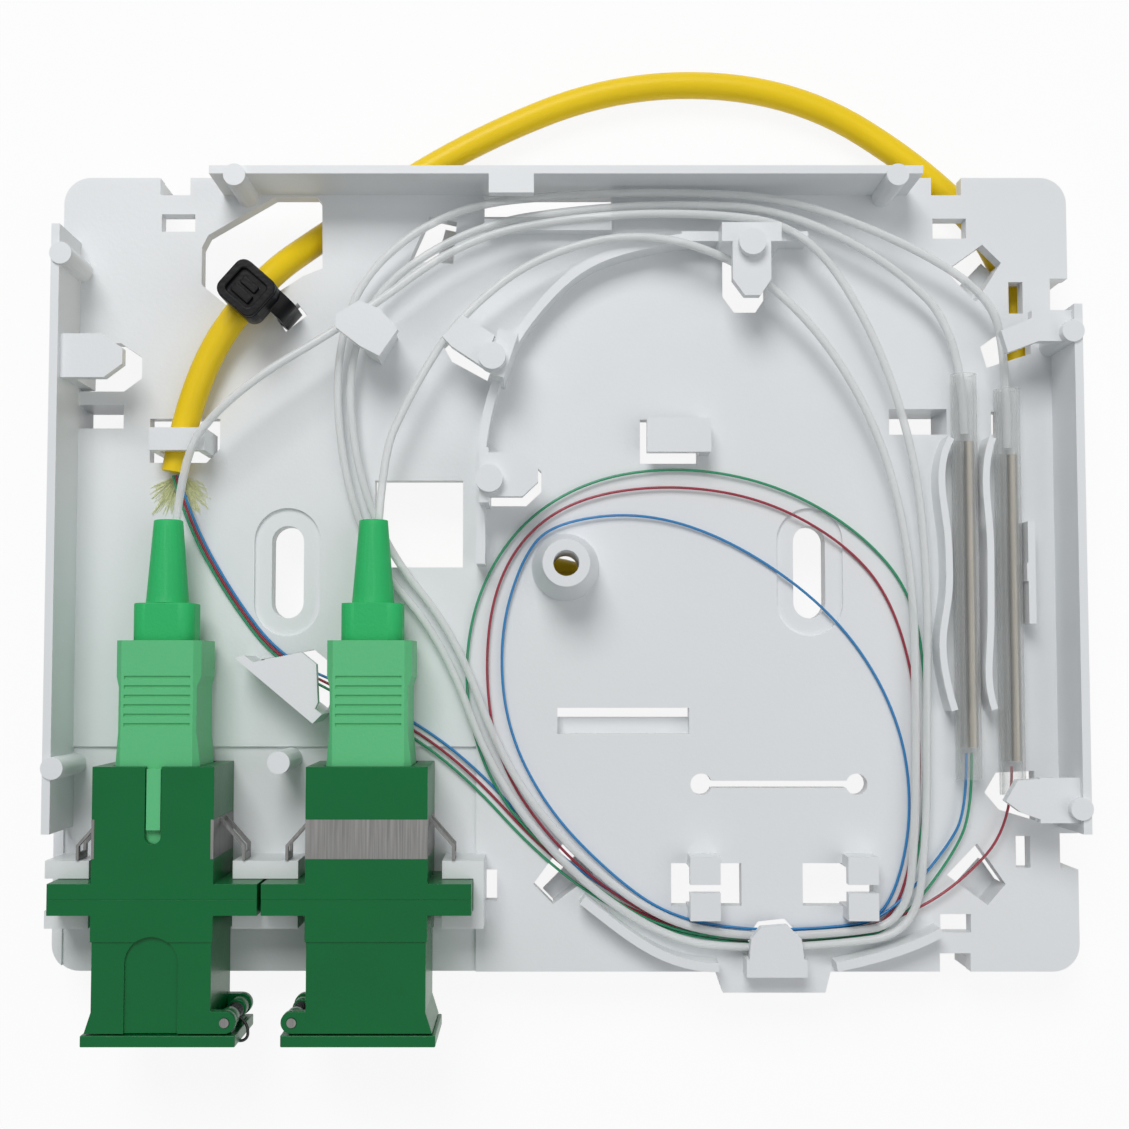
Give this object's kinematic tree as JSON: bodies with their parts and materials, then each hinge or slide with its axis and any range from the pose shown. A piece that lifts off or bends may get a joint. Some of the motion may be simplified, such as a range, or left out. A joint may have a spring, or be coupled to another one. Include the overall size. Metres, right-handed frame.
{
  "type": "optical splitter box",
  "caption": "Open optical splitter wall tray: shuttered adapters, angled-polish plugs, coiled pigtails, splice sleeves and a tied-down feed cable.",
  "frame": {"origin": "foot of the cover screw boss's axis on the wall plane, at the tray's back", "axes": "+Z out of the wall, +Y up, towards the edge opposite the adapters, +X to the right seen from the front"},
  "size_m": [0.1138, 0.1097, 0.0154],
  "materials": {
    "tray_plastic": "moulded, semi-gloss white",
    "adapter_plastic": "moulded, dark green",
    "latch_plastic": "moulded",
    "clip_steel": "bright spring steel",
    "black_steel": "blackened spring wire",
    "ceramic": "polished ceramic",
    "grip_plastic": "moulded, green",
    "frame_plastic": "moulded",
    "boot_rubber": "soft, green",
    "buffer_clear": "thin white tube",
    "sleeve_clear": "clear shrunk tube",
    "cable_yellow": "extruded jacket",
    "yarn": "loose strands",
    "tie_plastic": "moulded nylon",
    "fibre_green": "coated glass",
    "fibre_red": "coated glass",
    "fibre_blue": "coated glass"
  },
  "bodies": {
    "tray": {"base_tray": "tray_plastic", "adapter_left_plug_shell": "adapter_plastic", "adapter_left_port_shell": "adapter_plastic", "adapter_left_clip": "clip_steel", "adapter_left_plug_latch": "latch_plastic", "adapter_left_port_latch": "latch_plastic", "adapter_left_split_sleeve": "ceramic", "adapter_left_hinge_pin": "clip_steel", "plug_left_frame": "frame_plastic", "plug_left_ferrule": "ceramic", "plug_left_ferrule_hub": "clip_steel", "plug_left_spring": "clip_steel", "plug_left_back_stop": "clip_steel", "plug_left_crimp_ring": "clip_steel", "plug_left_boot": "boot_rubber", "pigtail_left": "buffer_clear", "splice_left_outer_tube": "sleeve_clear", "splice_left_melt_tube": "sleeve_clear", "splice_left_steel_rod": "clip_steel", "adapter_right_plug_shell": "adapter_plastic", "adapter_right_port_shell": "adapter_plastic", "adapter_right_clip": "clip_steel", "adapter_right_plug_latch": "latch_plastic", "adapter_right_port_latch": "latch_plastic", "adapter_right_split_sleeve": "ceramic", "adapter_right_hinge_pin": "clip_steel", "plug_right_frame": "frame_plastic", "plug_right_ferrule": "ceramic", "plug_right_ferrule_hub": "clip_steel", "plug_right_spring": "clip_steel", "plug_right_back_stop": "clip_steel", "plug_right_crimp_ring": "clip_steel", "plug_right_boot": "boot_rubber", "pigtail_right": "buffer_clear", "splice_right_outer_tube": "sleeve_clear", "splice_right_melt_tube": "sleeve_clear", "splice_right_steel_rod": "clip_steel", "feed_cable": "cable_yellow", "yarn_tuft": "yarn", "cable_tie": "tie_plastic", "fibre_green": "fibre_green", "fibre_red": "fibre_red", "fibre_blue": "fibre_blue"},
    "shutter_left": {"adapter_left_shutter": "adapter_plastic", "adapter_left_shutter_spring": "black_steel"},
    "grip_left": {"plug_left_grip": "grip_plastic"},
    "shutter_right": {"adapter_right_shutter": "adapter_plastic", "adapter_right_shutter_spring": "black_steel"},
    "grip_right": {"plug_right_grip": "grip_plastic"}
  },
  "joints": [
    {"name": "shutter_left_hinge", "type": "hinge", "parent": "tray", "child": "shutter_left", "pos_m": [-0.0357, -0.04815, 0.0107], "axis": [0, 0, 1], "range_deg": [0, 90], "stiffness_Nm_per_rad": 0.0004, "springref_deg": -20.05},
    {"name": "shutter_right_hinge", "type": "hinge", "parent": "tray", "child": "shutter_right", "pos_m": [-0.0287, -0.04815, 0.0107], "axis": [0, 0, -1], "range_deg": [0, 90], "stiffness_Nm_per_rad": 0.0004, "springref_deg": -20.05},
    {"name": "grip_left_slide", "type": "slide", "parent": "tray", "child": "grip_left", "axis": [0, 1, 0], "range_m": [0, 0.0018]},
    {"name": "grip_right_slide", "type": "slide", "parent": "tray", "child": "grip_right", "axis": [0, 1, 0], "range_m": [0, 0.0018]}
  ]
}
